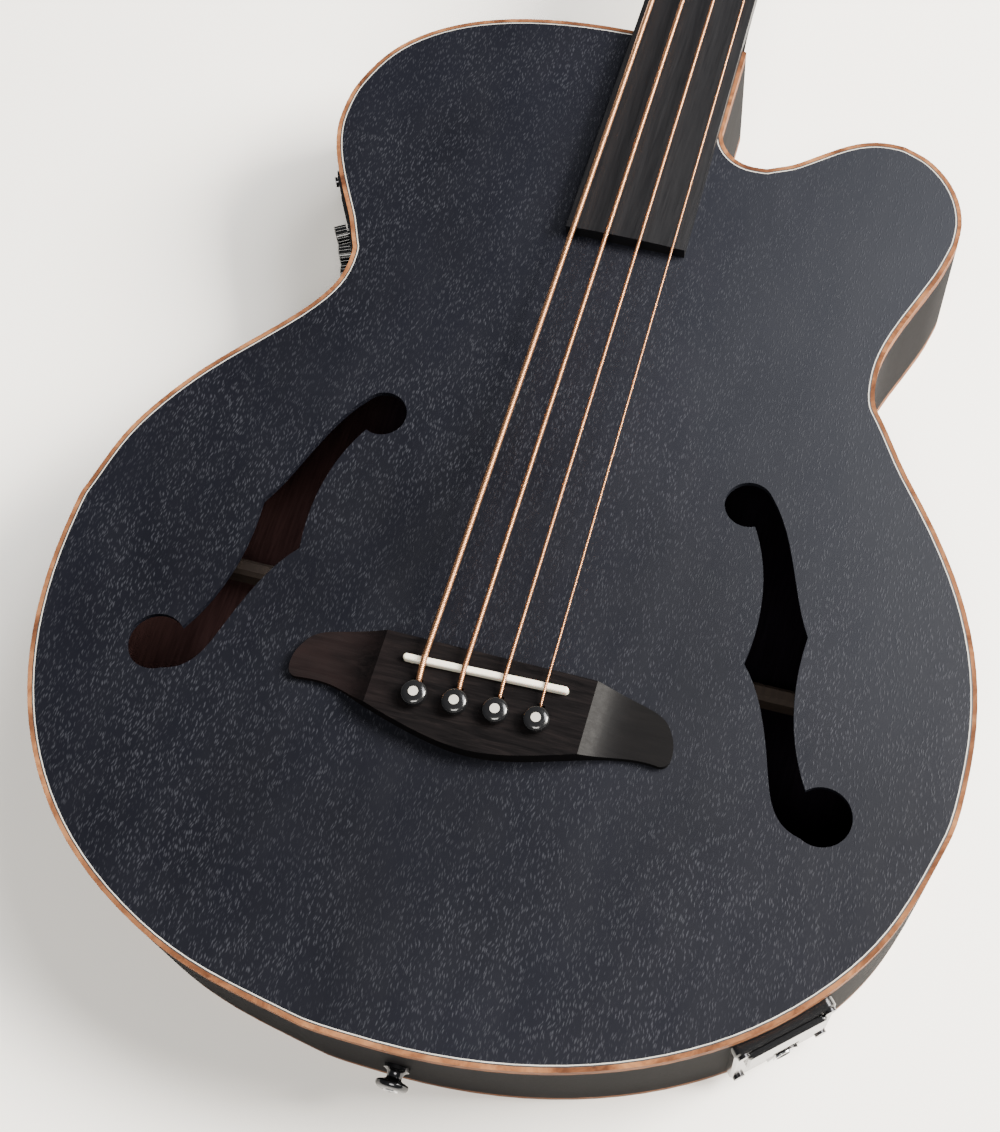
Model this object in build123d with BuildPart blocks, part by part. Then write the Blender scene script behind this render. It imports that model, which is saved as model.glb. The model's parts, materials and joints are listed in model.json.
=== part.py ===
"""Fretless acoustic-electric bass guitar, built as its separate pieces.

Frame, in millimetres: the instrument lies on its back.  The origin is on the centre line, on the
resting face of the back, straight below the saddle.  +Y runs up the neck, +X is the treble side
with the cutaway, and +Z comes out of the top.
"""
from build123d import *
from math import cos, radians, sin, tan
import os

os.makedirs("parts", exist_ok=True)

# ---------------------------------------------------------------- driving dimensions
SCALE = 864.0              # saddle to nut
BODY_DEPTH = 70.0          # back face to top face

# plan of the body, at its outer edge: the two sides of the hand-bent rim differ by a little
TAIL_Y = -157.6
BASS_BOUT_X, BASS_BOUT_Y = -204.4, 23.0
TREBLE_BOUT_X, TREBLE_BOUT_Y = 204.2, 14.6
BASS_WAIST_X, TREBLE_WAIST_X, WAIST_Y = -125.5, 129.9, 189.4
UPPER_X, UPPER_Y = -156.8, 272.3
SHOULDER_X, SHOULDER_Y = -29.5, 356.5
HORN_X, HORN_Y = 152.5, 274.2
HORN_TIP_X, HORN_TIP_Y = 111.3, 317.9
CUT_X, CUT_Y = 48.6, 288.6
CUT_WALL_X, CUT_WALL_Y = 29.5, 307.0

# the shell
TOP_THICK = 2.8
BRIDGE_PLATE_THICK = 3.0
BACK_THICK = 2.5
SIDE_THICK = 2.4
BINDING_W = 1.9
TOP_BINDING_H = 6.0
BACK_BINDING_H = 5.0
LINE_W = 0.5               # each purfling line
LINING_W, LINING_H = 6.0, 9.0

# sound holes: one shape and its mirror image, each then shifted a little
HOLE_TOP = (86.2, 111.8, 11.0)       # x, y and radius of the small eye
HOLE_TAIL = (147.0, -20.0, 12.8)     # and of the large one
HOLE_SHIFT_X = 2.3                   # both towards the treble side
HOLE_SHIFT_Y = 2.1                   # the bass one up, the treble one down

# bridge and saddle
BRIDGE_HALF = 84.0
BRIDGE_THICK, WING_THICK = 8.5, 3.0
SCOOP_X = 46.5                       # where each wing's scoop begins
SADDLE_HALF, SADDLE_THICK = 36.0, 3.0
SADDLE_SLANT = 1.9                   # degrees, bass end nearer the tail
SADDLE_RISE = 3.0                    # above the bridge
PIN_BACK = 15.4                      # pins behind the saddle
PIN_HEAD_R, PIN_SHAFT_R = 5.6, 3.3
CHANNEL_W, CHANNEL_L = 3.4, 7.4      # string channel in front of each pin

# strings, bass to treble
STRING_NAMES = ("e", "a", "d", "g")
STRING_DIA = (2.67, 2.16, 1.65, 1.14)
SADDLE_PITCH = 17.6
NUT_PITCH = 11.2

# neck
NUT_HALF = 21.25
BOARD_END_Y = 229.5
BOARD_END_HALF = 29.0
BOARD_THICK = 7.0
BOARD_CAMBER_R = 400.0
NECK_DEPTH_NUT, NECK_DEPTH_BODY = 15.0, 19.0
NUT_THICK, NUT_RISE = 5.0, 2.2
HEAD_TILT = 10.0
HEAD_THICK = 15.0
HEAD_LENGTH = 190.0

# tuners, in the headstock's own frame: x across, y along it from the nut, z out of its face
TUNER_X = (-25.0, -25.0, 25.0, 25.0)          # e, a, d, g
TUNER_Y = (50.0, 125.0, 125.0, 50.0)
POST_R, POST_HEIGHT = 6.0, 24.0
GEAR_R, GEAR_H = 9.0, 5.0
WORM_R, WORM_LENGTH = 3.5, 13.0
KEY_SHAFT_R = 2.2
RUNNING = 0.05                                 # radial clearance of every turning fit
PLATE_THICK = 1.6

# preamp panel on the bass waist
PANEL_LOW_Z, PANEL_HIGH_Z = 12.0, 60.0
PANEL_PROUD = 1.6
KNOB_R, KNOB_HEIGHT, KNOB_GAP = 5.0, 6.0, 1.3
BUTTON_R, BUTTON_RISE, BUTTON_TRAVEL = 3.2, 2.4, 1.2

# battery and jack plate on the lower treble rim
PLATE_HALF_W, PLATE_HALF_H = 23.0, 27.0
PLATE_MID_Z = 34.0
PLATE_PROUD = 3.0
DRAWER_Z, JACK_Z = 45.5, 19.5
DRAWER_HALF_W, DRAWER_HALF_H = 18.0, 11.0
TRAY_HALF_W, TRAY_HALF_H, TRAY_DEPTH = 14.6, 9.8, 51.0
JACK_BORE_R, JACK_BORE_DEPTH = 3.3, 25.0
JACK_R = 4.7

LEAD_R = 1.5
STRAP_BASE_R, STRAP_NECK_R, STRAP_FLANGE_R = 5.5, 3.2, 7.0
STRAP_SCREW_R, STRAP_SCREW_L = 1.7, 18.0
TAIL_BUTTON_X = 5.7

# ---------------------------------------------------------------- values worked out from them
TOP_Z = BODY_DEPTH
TOP_UNDER = TOP_Z - TOP_THICK
BOARD_TOP = TOP_Z + BOARD_THICK
BRIDGE_TOP = TOP_Z + BRIDGE_THICK
SADDLE_TOP = BRIDGE_TOP + SADDLE_RISE
TOP_INSET = BINDING_W + 2 * LINE_W
NUT_TOP = BOARD_TOP + NUT_RISE
HEAD_FACE = Plane(
    origin=(0, SCALE + NUT_THICK, TOP_Z + 1.0),
    x_dir=(1, 0, 0),
    z_dir=(0, sin(radians(HEAD_TILT)), cos(radians(HEAD_TILT))),
)
TUNERS = list(zip(STRING_NAMES, STRING_DIA, TUNER_X, TUNER_Y))


def finish(part, name):
    """Label a finished piece and write it."""
    part.label = name
    export_step(part, f"parts/{name}.step")


# ---------------------------------------------------------------- plan of the body
BOUTS = {
    "lower treble": (
        (0, TAIL_Y), (104.8, TAIL_Y), (TREBLE_BOUT_X, TREBLE_BOUT_Y - 117), (TREBLE_BOUT_X, TREBLE_BOUT_Y),
    ),
    "treble waist": (
        (TREBLE_BOUT_X, TREBLE_BOUT_Y), (TREBLE_BOUT_X, TREBLE_BOUT_Y + 94.5),
        (TREBLE_WAIST_X, WAIST_Y - 42.5), (TREBLE_WAIST_X, WAIST_Y),
    ),
    "treble bout": (
        (TREBLE_WAIST_X, WAIST_Y), (TREBLE_WAIST_X, WAIST_Y + 27), (HORN_X, HORN_Y - 29), (HORN_X, HORN_Y),
    ),
    "horn": (
        (HORN_X, HORN_Y), (HORN_X, HORN_Y + 22), (HORN_TIP_X + 22, HORN_TIP_Y), (HORN_TIP_X, HORN_TIP_Y),
    ),
    "cutaway": (
        (HORN_TIP_X, HORN_TIP_Y), (HORN_TIP_X - 27, HORN_TIP_Y), (CUT_X + 24.5, CUT_Y), (CUT_X, CUT_Y),
    ),
    "cutaway corner": (
        (CUT_X, CUT_Y), (CUT_X - 10, CUT_Y), (CUT_WALL_X, CUT_WALL_Y - 10), (CUT_WALL_X, CUT_WALL_Y),
    ),
    "shoulder": (
        (SHOULDER_X, SHOULDER_Y), (SHOULDER_X - 100, SHOULDER_Y), (UPPER_X, UPPER_Y + 42), (UPPER_X, UPPER_Y),
    ),
    "bass bout": (
        (UPPER_X, UPPER_Y), (UPPER_X, UPPER_Y - 31.5), (BASS_WAIST_X, WAIST_Y + 22.5), (BASS_WAIST_X, WAIST_Y),
    ),
    "bass waist": (
        (BASS_WAIST_X, WAIST_Y), (BASS_WAIST_X, WAIST_Y - 44.5),
        (BASS_BOUT_X, BASS_BOUT_Y + 97), (BASS_BOUT_X, BASS_BOUT_Y),
    ),
    "lower bass": (
        (BASS_BOUT_X, BASS_BOUT_Y), (BASS_BOUT_X, BASS_BOUT_Y - 123), (-116, TAIL_Y), (0, TAIL_Y),
    ),
}


BOUT_END = 0.003           # share left straight at each end of a bout


def bout(name, inset=0.0):
    """One stretch of the edge, or the line that keeps a distance inside it."""
    edge = Bezier(*BOUTS[name], mode=Mode.PRIVATE)
    spots, runs = [], []
    for step in range(9):
        share = BOUT_END + step / 8 * (1 - 2 * BOUT_END)
        run = edge % share
        spots.append(edge @ share + Vector(-run.Y, run.X, 0) * inset)
        runs.append(run)
    return Spline(*spots, tangents=(runs[0], runs[-1]))


def body_face(inset=0.0):
    """The plan of the body as a face, drawn in from its outer edge."""
    with BuildSketch() as plan:
        with BuildLine():
            names = list(BOUTS)
            bouts = {name: bout(name, inset) for name in names}
            for name, after in zip(names, names[1:] + names[:1]):
                stops = [bouts[name] @ 1, bouts[after] @ 0]
                if name == "cutaway corner":
                    stops.insert(1, (CUT_WALL_X - inset, SHOULDER_Y - inset))
                Polyline(*stops)
        make_face()
    return plan.sketch


def ring_face(outer, inner):
    """A band that follows the edge, between two insets."""
    return Face(body_face(outer).wire(), [body_face(inner).wire()])


def rim_plane(edge, share, z, outward):
    """A plane on the rim: x along the rim, y up, z out of the side."""
    point = edge @ share
    run = edge % share
    normal = Vector(run.Y, -run.X, 0) * outward
    return Plane(origin=(point.X, point.Y, z), x_dir=Vector(0, 0, 1).cross(normal), z_dir=normal)


with BuildLine() as bass_line:
    bout("bass bout")
with BuildLine() as treble_line:
    bout("lower treble")
BASS_EDGE = bass_line.line
TREBLE_EDGE = treble_line.line


def bass_plane(share, z):
    """A place on the bass waist; share runs from the upper bout to the waist."""
    return rim_plane(BASS_EDGE, share, z, 1)


def box_plane(z):
    """The face of the rim at the battery plate, at height z."""
    return rim_plane(TREBLE_EDGE, 0.55, z, 1)


BOX_PLANE = box_plane(PLATE_MID_Z)


# ---------------------------------------------------------------- sound holes
def sound_hole_lines():
    """One f-hole's two long edges, closed through the eyes."""
    top_x, top_y, top_r = HOLE_TOP
    tail_x, tail_y, tail_r = HOLE_TAIL
    outer_notch, inner_notch = (124.7, 56.3), (101.0, 37.7)
    top_join = (top_x + top_r * cos(radians(35)), top_y + top_r * sin(radians(35)))
    tail_cusp = (tail_x - tail_r * cos(radians(47)), tail_y + tail_r * sin(radians(47)))
    tail_join = (tail_x - tail_r * cos(radians(60)), tail_y - tail_r * sin(radians(60)))
    top_cusp = (top_x + top_r * cos(radians(64)), top_y - top_r * sin(radians(64)))
    Spline(top_join, (106.6, 99.5), (114.8, 78.5), outer_notch)
    Spline(outer_notch, (124.2, 45.0), (126.2, 22.0), tail_cusp)
    Line(tail_cusp, (tail_x, tail_y))
    Line((tail_x, tail_y), tail_join)
    Spline(tail_join, (130.6, -26.0), (121.0, -5.0), (113.0, 18.0), inner_notch)
    Spline(inner_notch, (102.4, 50.0), (101.4, 72.0), top_cusp)
    Line(top_cusp, (top_x, top_y))
    Line((top_x, top_y), top_join)


def sound_holes():
    """Both f-holes as one sketch."""
    with BuildSketch() as hole:
        with BuildLine():
            sound_hole_lines()
        make_face()
        for x, y, r in (HOLE_TOP, HOLE_TAIL):
            with Locations((x, y)):
                Circle(r)
    with BuildSketch() as both:
        with Locations((HOLE_SHIFT_X, -HOLE_SHIFT_Y)):
            add(hole.sketch)
        with Locations((HOLE_SHIFT_X, HOLE_SHIFT_Y)):
            add(hole.sketch.mirror(Plane.YZ))
    return both.sketch


# ---------------------------------------------------------------- places of strings and pins
def saddle_y(x):
    """Where the saddle crosses the string at x."""
    return x * tan(radians(SADDLE_SLANT))


STRINGS = []
for index, (name, dia) in enumerate(zip(STRING_NAMES, STRING_DIA)):
    across = index - 1.5
    STRINGS.append((name, dia, across * SADDLE_PITCH, across * NUT_PITCH))
PIN_SPOTS = [(x, saddle_y(x) - PIN_BACK) for _, _, x, _ in STRINGS]
LEAD_HOLE = (-SADDLE_HALF + 4, saddle_y(-SADDLE_HALF + 4))


def pin_openings():
    """The pin holes, each with its string channel, seen from above."""
    with BuildSketch() as openings:
        for x, y in PIN_SPOTS:
            with Locations((x, y)):
                Circle(PIN_SHAFT_R + 0.1)
            with Locations((x, y + CHANNEL_L / 2)):
                Rectangle(CHANNEL_W, CHANNEL_L)
    return openings.sketch


def route(points):
    """A lead or string path: straight runs joined by arcs as large as the runs allow."""
    spots = [Vector(*p) for p in points]
    radii = []
    for before, here, after in zip(spots, spots[1:], spots[2:]):
        first, second = here - before, after - here
        turn = radians(first.get_angle(second))
        radii.append(0.45 * min(first.length, second.length) / tan(turn / 2))
    if radii:
        return FilletPolyline(*spots, radius=radii)
    return Polyline(*spots)


def round_rod(points, radius):
    """A round rod swept along a route."""
    with BuildPart() as rod:
        with BuildLine() as path:
            route(points)
        with BuildSketch(Plane(origin=path.line @ 0, z_dir=path.line % 0)):
            Circle(radius)
        sweep()
    return rod.part


# ================================================================ the shell
with BuildPart() as top_plate:
    with BuildSketch(Plane.XY.offset(TOP_UNDER)):
        add(body_face(TOP_INSET))
        add(sound_holes(), mode=Mode.SUBTRACT)
        add(pin_openings(), mode=Mode.SUBTRACT)
        with Locations(LEAD_HOLE):
            Circle(LEAD_R + 0.3, mode=Mode.SUBTRACT)
    extrude(amount=TOP_THICK)
finish(top_plate.part, "top_plate")

with BuildPart() as back_plate:
    with BuildSketch():
        add(body_face(BINDING_W))
    extrude(amount=BACK_THICK)
finish(back_plate.part, "back_plate")

with BuildPart() as top_binding:
    with BuildSketch(Plane.XY.offset(TOP_Z - TOP_BINDING_H)):
        add(ring_face(0, BINDING_W))
    extrude(amount=TOP_BINDING_H)
finish(top_binding.part, "top_binding")

with BuildPart() as back_binding:
    with BuildSketch():
        add(ring_face(0, BINDING_W))
    extrude(amount=BACK_BINDING_H)
finish(back_binding.part, "back_binding")

with BuildPart() as purfling_black:
    with BuildSketch(Plane.XY.offset(TOP_Z - TOP_BINDING_H)):
        add(ring_face(BINDING_W, BINDING_W + LINE_W))
    extrude(amount=TOP_BINDING_H)
finish(purfling_black.part, "purfling_black")

with BuildPart() as purfling_white:
    with BuildSketch(Plane.XY.offset(TOP_UNDER)):
        add(ring_face(BINDING_W + LINE_W, TOP_INSET))
    extrude(amount=TOP_THICK)
finish(purfling_white.part, "purfling_white")

SIDE_HEIGHT = BODY_DEPTH - TOP_BINDING_H - BACK_BINDING_H


def side_half(keep):
    """One bent side: the rim wall on one side of the tail and neck seams."""
    with BuildPart() as side:
        with BuildSketch(Plane.XY.offset(BACK_BINDING_H)):
            add(ring_face(0, SIDE_THICK))
            with Locations((keep * 250, 100)):
                Rectangle(500, 700, mode=Mode.INTERSECT)
        extrude(amount=SIDE_HEIGHT)
    return side.part


WINDOW_MID_Z = (PANEL_LOW_Z + PANEL_HIGH_Z) / 2
PREAMP_PLANE = bass_plane(0.66, WINDOW_MID_Z)
PREAMP_WINDOW_HALF_W, PREAMP_WINDOW_HALF_H = 26.0, 19.0

with BuildPart() as bass_side:
    add(side_half(-1))
    with BuildSketch(PREAMP_PLANE.offset(-25)):
        RectangleRounded(2 * PREAMP_WINDOW_HALF_W, 2 * PREAMP_WINDOW_HALF_H, 3)
    extrude(amount=50, mode=Mode.SUBTRACT)
finish(bass_side.part, "bass_side")


def cutaway_region():
    """The treble side's stretch between the horn's tip and the neck."""
    with BuildPart() as region:
        with Locations((HORN_TIP_X / 2, SHOULDER_Y - 30, BODY_DEPTH / 2)):
            Box(HORN_TIP_X, 120, BODY_DEPTH + 10)
    return region.part


with BuildPart() as cutaway_side:
    add(side_half(1))
    add(cutaway_region(), mode=Mode.INTERSECT)
finish(cutaway_side.part, "cutaway_side")

with BuildPart() as treble_side:
    add(side_half(1))
    add(cutaway_region(), mode=Mode.SUBTRACT)
    with BuildSketch(BOX_PLANE.offset(-15)):
        RectangleRounded(2 * PLATE_HALF_W - 6, 2 * PLATE_HALF_H - 6, 3)
    extrude(amount=30, mode=Mode.SUBTRACT)
    with BuildSketch(Plane.XZ.offset(-TAIL_Y + 5)):
        with Locations((TAIL_BUTTON_X, BODY_DEPTH / 2)):
            Circle(STRAP_SCREW_R + 0.05)
    extrude(amount=-20, mode=Mode.SUBTRACT)
finish(treble_side.part, "treble_side")

with BuildPart() as linings:
    with BuildSketch(Plane.XY.offset(TOP_UNDER - LINING_H)):
        add(ring_face(SIDE_THICK, SIDE_THICK + LINING_W))
    extrude(amount=LINING_H)
    with BuildSketch(Plane.XY.offset(BACK_THICK)):
        add(ring_face(SIDE_THICK, SIDE_THICK + LINING_W))
    extrude(amount=LINING_H)
    with Locations((0, SHOULDER_Y - 28, 0)):
        Box(59.4, 56, 400, mode=Mode.SUBTRACT)
    with Locations((6, TAIL_Y + 14, 0)):
        Box(60.4, 28, 400, mode=Mode.SUBTRACT)
finish(linings.part, "linings")

BLOCK_LOW, BLOCK_HIGH = BACK_THICK, TOP_UNDER

with BuildPart() as neck_block:
    with BuildSketch(Plane.XY.offset(BLOCK_LOW)):
        add(body_face(SIDE_THICK))
        with Locations((0, SHOULDER_Y - 28)):
            Rectangle(58.8, 55.4, mode=Mode.INTERSECT)
    extrude(amount=BLOCK_HIGH - BLOCK_LOW)
finish(neck_block.part, "neck_block")

with BuildPart() as tail_block:
    with BuildSketch(Plane.XY.offset(BLOCK_LOW)):
        add(body_face(SIDE_THICK))
        with Locations((6, TAIL_Y + 13.8)):
            Rectangle(60, 27.6, mode=Mode.INTERSECT)
    extrude(amount=BLOCK_HIGH - BLOCK_LOW)
    with BuildSketch(Plane.XZ.offset(-TAIL_Y)):
        with Locations((TAIL_BUTTON_X, BODY_DEPTH / 2)):
            Circle(STRAP_SCREW_R + 0.05)
    extrude(amount=-(STRAP_SCREW_L + 2), mode=Mode.SUBTRACT)
finish(tail_block.part, "tail_block")

# ---------------------------------------------------------------- braces
TOP_BRACE_H, BACK_BRACE_H, BRACE_W = 10.0, 12.0, 8.0
with BuildPart() as top_braces:
    with BuildSketch(Plane.XY.offset(TOP_UNDER - TOP_BRACE_H)):
        for x in (-66, 66):
            with Locations((x, 50)):
                Rectangle(BRACE_W, 300)
        with Locations((0, 245)):
            Rectangle(230, BRACE_W)
        with Locations((0, -112)):
            Rectangle(200, BRACE_W)
    extrude(amount=TOP_BRACE_H)
    chamfer(top_braces.faces().sort_by(Axis.Z)[0].edges().filter_by(GeomType.LINE), 1.5)
finish(top_braces.part, "top_braces")

BACK_BRACES_Y = (-80, 47, 174, 262)
with BuildPart() as back_braces:
    with BuildSketch(Plane.XY.offset(BACK_THICK)):
        for y in BACK_BRACES_Y:
            with Locations((0, y)):
                Rectangle(2 * TREBLE_BOUT_X + 4, BRACE_W)
        add(body_face(SIDE_THICK + LINING_W + 0.2), mode=Mode.INTERSECT)
    extrude(amount=BACK_BRACE_H)
    chamfer(back_braces.faces().group_by(Axis.Z)[-1].edges().filter_by(Axis.X), 2)
finish(back_braces.part, "back_braces")

with BuildPart() as bridge_plate:
    with BuildSketch(Plane.XY.offset(TOP_UNDER - BRIDGE_PLATE_THICK)):
        with Locations((0, -11)):
            RectangleRounded(118, 46, 4)
        add(pin_openings(), mode=Mode.SUBTRACT)
        with Locations(LEAD_HOLE):
            Circle(LEAD_R + 0.3, mode=Mode.SUBTRACT)
    extrude(amount=BRIDGE_PLATE_THICK)
finish(bridge_plate.part, "bridge_plate")

# ================================================================ bridge
SLOT_DEPTH = 7.0


def bridge_plan():
    """The belly bridge seen from above."""
    with BuildSketch() as plan:
        with BuildLine():
            Line((-44, 9.3), (44, 9.3))
            Spline((44, 9.3), (66, 5.6), (80.5, -2.0), tangents=((1, 0), (0.6, -1)))
            Spline((80.5, -2.0), (BRIDGE_HALF, -11.0), (79.0, -19.0), tangents=((0.6, -1), (-1, 0.12)))
            Spline(
                (79.0, -19.0), (52, -22.4), (24, -30.6), (0, -34.0), (-24, -30.6), (-52, -22.4),
                (-79.0, -19.0), tangents=((-1, 0.12), (-1, -0.12)),
            )
            Spline(
                (-79.0, -19.0), (-BRIDGE_HALF, -11.0), (-80.5, -2.0),
                tangents=((-1, -0.12), (0.6, 1)),
            )
            Spline((-80.5, -2.0), (-66, 5.6), (-44, 9.3), tangents=((0.6, 1), (1, 0)))
        make_face()
    return plan.sketch


with BuildPart() as bridge:
    with BuildSketch(Plane.XY.offset(TOP_Z)):
        add(bridge_plan())
    extrude(amount=BRIDGE_THICK)
    for side in (-1, 1):
        with BuildSketch(Plane.XZ.offset(-60)):
            with BuildLine():
                Bezier(
                    (side * SCOOP_X, BRIDGE_TOP), (side * (SCOOP_X + 5), BRIDGE_TOP - 3.4),
                    (side * (SCOOP_X + 9), TOP_Z + WING_THICK), (side * (SCOOP_X + 20), TOP_Z + WING_THICK),
                )
                Polyline(
                    (side * (SCOOP_X + 20), TOP_Z + WING_THICK), (side * 90, TOP_Z + WING_THICK),
                    (side * 90, BRIDGE_TOP + 1), (side * SCOOP_X, BRIDGE_TOP + 1),
                    (side * SCOOP_X, BRIDGE_TOP),
                )
            make_face()
        extrude(amount=120, mode=Mode.SUBTRACT)
    with BuildSketch(Plane.XY.offset(BRIDGE_TOP).rotated((0, 0, SADDLE_SLANT))):
        SlotOverall(2 * SADDLE_HALF + 0.2, SADDLE_THICK + 0.1)
    extrude(amount=-SLOT_DEPTH, mode=Mode.SUBTRACT)
    with BuildSketch(Plane.XY.offset(TOP_Z)):
        add(pin_openings())
        with Locations(LEAD_HOLE):
            Circle(LEAD_R + 0.3)
    extrude(amount=BRIDGE_THICK, mode=Mode.SUBTRACT)
finish(bridge.part, "bridge")

STRIP_THICK = 1.2
SADDLE_FOOT = BRIDGE_TOP - SLOT_DEPTH + STRIP_THICK
with BuildPart() as saddle:
    with BuildSketch(Plane.XY.offset(SADDLE_FOOT).rotated((0, 0, SADDLE_SLANT))):
        SlotOverall(2 * SADDLE_HALF, SADDLE_THICK)
    extrude(amount=SADDLE_TOP - SADDLE_FOOT)
    fillet(saddle.faces().sort_by(Axis.Z)[-1].edges(), 1.0)
finish(saddle.part, "saddle")

with BuildPart() as piezo_pickup:
    with BuildSketch(Plane.XY.offset(BRIDGE_TOP - SLOT_DEPTH).rotated((0, 0, SADDLE_SLANT))):
        SlotOverall(2 * SADDLE_HALF - 1, SADDLE_THICK - 0.4)
    extrude(amount=STRIP_THICK)
finish(piezo_pickup.part, "piezo_pickup")

PIN_HEAD_H = 5.2
PIN_DOT_R, PIN_DOT_H = 2.1, 0.8
with BuildPart() as bridge_pins:
    for x, y in PIN_SPOTS:
        with BuildSketch(Plane((x, y, BRIDGE_TOP), x_dir=(1, 0, 0), z_dir=(0, -1, 0))):
            with BuildLine():
                Polyline((0, -24), (PIN_SHAFT_R - 0.8, -24), (PIN_SHAFT_R, 0), (PIN_SHAFT_R + 0.9, 0))
                Polyline((PIN_SHAFT_R + 0.9, 0), (PIN_SHAFT_R + 0.9, 0.8), (PIN_HEAD_R, 1.6))
                Line((PIN_HEAD_R, 1.6), (PIN_HEAD_R, PIN_HEAD_H - 2))
                Bezier(
                    (PIN_HEAD_R, PIN_HEAD_H - 2), (PIN_HEAD_R, PIN_HEAD_H - 0.6),
                    (PIN_HEAD_R - 1.2, PIN_HEAD_H), (PIN_DOT_R, PIN_HEAD_H),
                )
                Polyline((PIN_DOT_R, PIN_HEAD_H), (PIN_DOT_R, PIN_HEAD_H - PIN_DOT_H))
                Polyline((PIN_DOT_R, PIN_HEAD_H - PIN_DOT_H), (0, PIN_HEAD_H - PIN_DOT_H), (0, -24))
            make_face()
        revolve(axis=Axis((x, y, 0), (0, 0, 1)))
        with BuildSketch(Plane.XY.offset(BRIDGE_TOP - 25)):
            with Locations((x, y + 1.9 + 3)):
                Rectangle(3.2, 6)
        extrude(amount=25 + 3.4, mode=Mode.SUBTRACT)
finish(bridge_pins.part, "bridge_pins")

with BuildPart() as pin_dots:
    with BuildSketch(Plane.XY.offset(BRIDGE_TOP + PIN_HEAD_H - PIN_DOT_H)):
        with Locations(*PIN_SPOTS):
            Circle(PIN_DOT_R)
    extrude(amount=PIN_DOT_H + 0.15)
finish(pin_dots.part, "pin_dots")

# ================================================================ neck
NECK_START = SHOULDER_Y
HEEL_SEAT_X = 22.9                     # flat seat of the heel's strap button
HEEL_BUTTON_Y, HEEL_BUTTON_Z = NECK_START + 7, 42.0
SCREW_R, SCREW_L, SCREW_HEAD_R, SCREW_HEAD_H = 1.3, 7.0, 2.6, 1.3
PLATE_LOW, PLATE_HIGH = -13.0, 26.0    # the tuner plate's ends, along the headstock from its post
PLATE_SCREWS = [
    (x + dx, y + dy) for _, _, x, y in TUNERS for dx in (-11.5, 11.5) for dy in (-9.5, 22.5)
]
COVER_SCREWS = ((-7.0, 6.0), (7.0, 6.0), (0.0, 31.5))
HEEL_TOP_Y = 412.0
HEEL_BOTTOM_Z = 9.0


def board_half(y):
    """Half the fingerboard's width at y."""
    return BOARD_END_HALF + (NUT_HALF - BOARD_END_HALF) * (y - BOARD_END_Y) / (SCALE - BOARD_END_Y)


def neck_section(y, depth, half=None):
    """The neck cut across at y: flat on top, rounded below."""
    half = half or board_half(y)
    with BuildSketch(Plane((0, y, TOP_Z), x_dir=(1, 0, 0), z_dir=(0, -1, 0))) as section:
        Ellipse(half, depth)
        with Locations((0, 50)):
            Rectangle(200, 100, mode=Mode.SUBTRACT)
    return section.sketch


with BuildPart() as neck:
    add(neck_section(SCALE + NUT_THICK, NECK_DEPTH_NUT, NUT_HALF))
    add(neck_section(HEEL_TOP_Y, NECK_DEPTH_BODY))
    loft()
    add(neck_section(HEEL_TOP_Y, NECK_DEPTH_BODY))
    add(neck_section(NECK_START + 30, 25))
    add(neck_section(NECK_START + 13, 43))
    add(neck_section(NECK_START, TOP_Z - HEEL_BOTTOM_Z, 28.2))
    loft()
    with BuildSketch(HEAD_FACE):
        with BuildLine():
            Spline(
                (-NUT_HALF, -4), (-NUT_HALF - 4, 10), (-40, 34), (-41.5, 70), (-38.5, 120),
                (-41, HEAD_LENGTH - 14), tangents=((0, 1), (0.05, 1)),
            )
            Spline(
                (-41, HEAD_LENGTH - 14), (-20, HEAD_LENGTH - 1.5), (0, HEAD_LENGTH - 6),
                (20, HEAD_LENGTH - 1.5), (41, HEAD_LENGTH - 14),
            )
            Spline(
                (41, HEAD_LENGTH - 14), (38.5, 120), (41.5, 70), (40, 34), (NUT_HALF + 4, 10),
                (NUT_HALF, -4), tangents=((0.05, -1), (0, -1)),
            )
            Line((NUT_HALF, -4), (-NUT_HALF, -4))
        make_face()
        for _, _, x, y in TUNERS:
            with Locations((x, y)):
                Circle(POST_R + 1.0, mode=Mode.SUBTRACT)
    extrude(amount=-HEAD_THICK)
    with Locations((0, SCALE / 2, TOP_Z + 5)):
        Box(200, SCALE + 2 * NUT_THICK, 10, mode=Mode.SUBTRACT)
    with BuildSketch(Plane.XZ.offset(-405)):
        with Locations((0, TOP_Z - 6)):
            Circle(3.2)
    extrude(amount=-(SCALE - 405 + 28), mode=Mode.SUBTRACT)
    with BuildSketch(HEAD_FACE):
        with Locations((0, 16)):
            RectangleRounded(10, 22, 3)
    extrude(amount=-9, mode=Mode.SUBTRACT)
    with BuildSketch(Plane.YZ.offset(-HEEL_SEAT_X)):
        with Locations((HEEL_BUTTON_Y, HEEL_BUTTON_Z)):
            Circle(STRAP_BASE_R + 0.1)
    extrude(amount=-20, mode=Mode.SUBTRACT)
    with BuildSketch(Plane.YZ.offset(-HEEL_SEAT_X)):
        with Locations((HEEL_BUTTON_Y, HEEL_BUTTON_Z)):
            Circle(STRAP_SCREW_R + 0.05)
    extrude(amount=STRAP_SCREW_L + 0.5, mode=Mode.SUBTRACT)
    with BuildSketch(HEAD_FACE.offset(-HEAD_THICK)):
        with Locations(*PLATE_SCREWS):
            Circle(SCREW_R + 0.05)
    extrude(amount=SCREW_L + 0.3, mode=Mode.SUBTRACT)
    with BuildSketch(HEAD_FACE):
        with Locations(*COVER_SCREWS):
            Circle(SCREW_R + 0.05)
    extrude(amount=-(SCREW_L + 0.3), mode=Mode.SUBTRACT)
finish(neck.part, "neck")

DOT_R, DOT_DEPTH, DOT_Z = 1.0, 1.5, TOP_Z + 4.2
DOT_SPOTS = [SCALE * 2 ** (-step / 12) for step in (3, 5, 7, 9, 11.85, 12.15, 15)]

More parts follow.
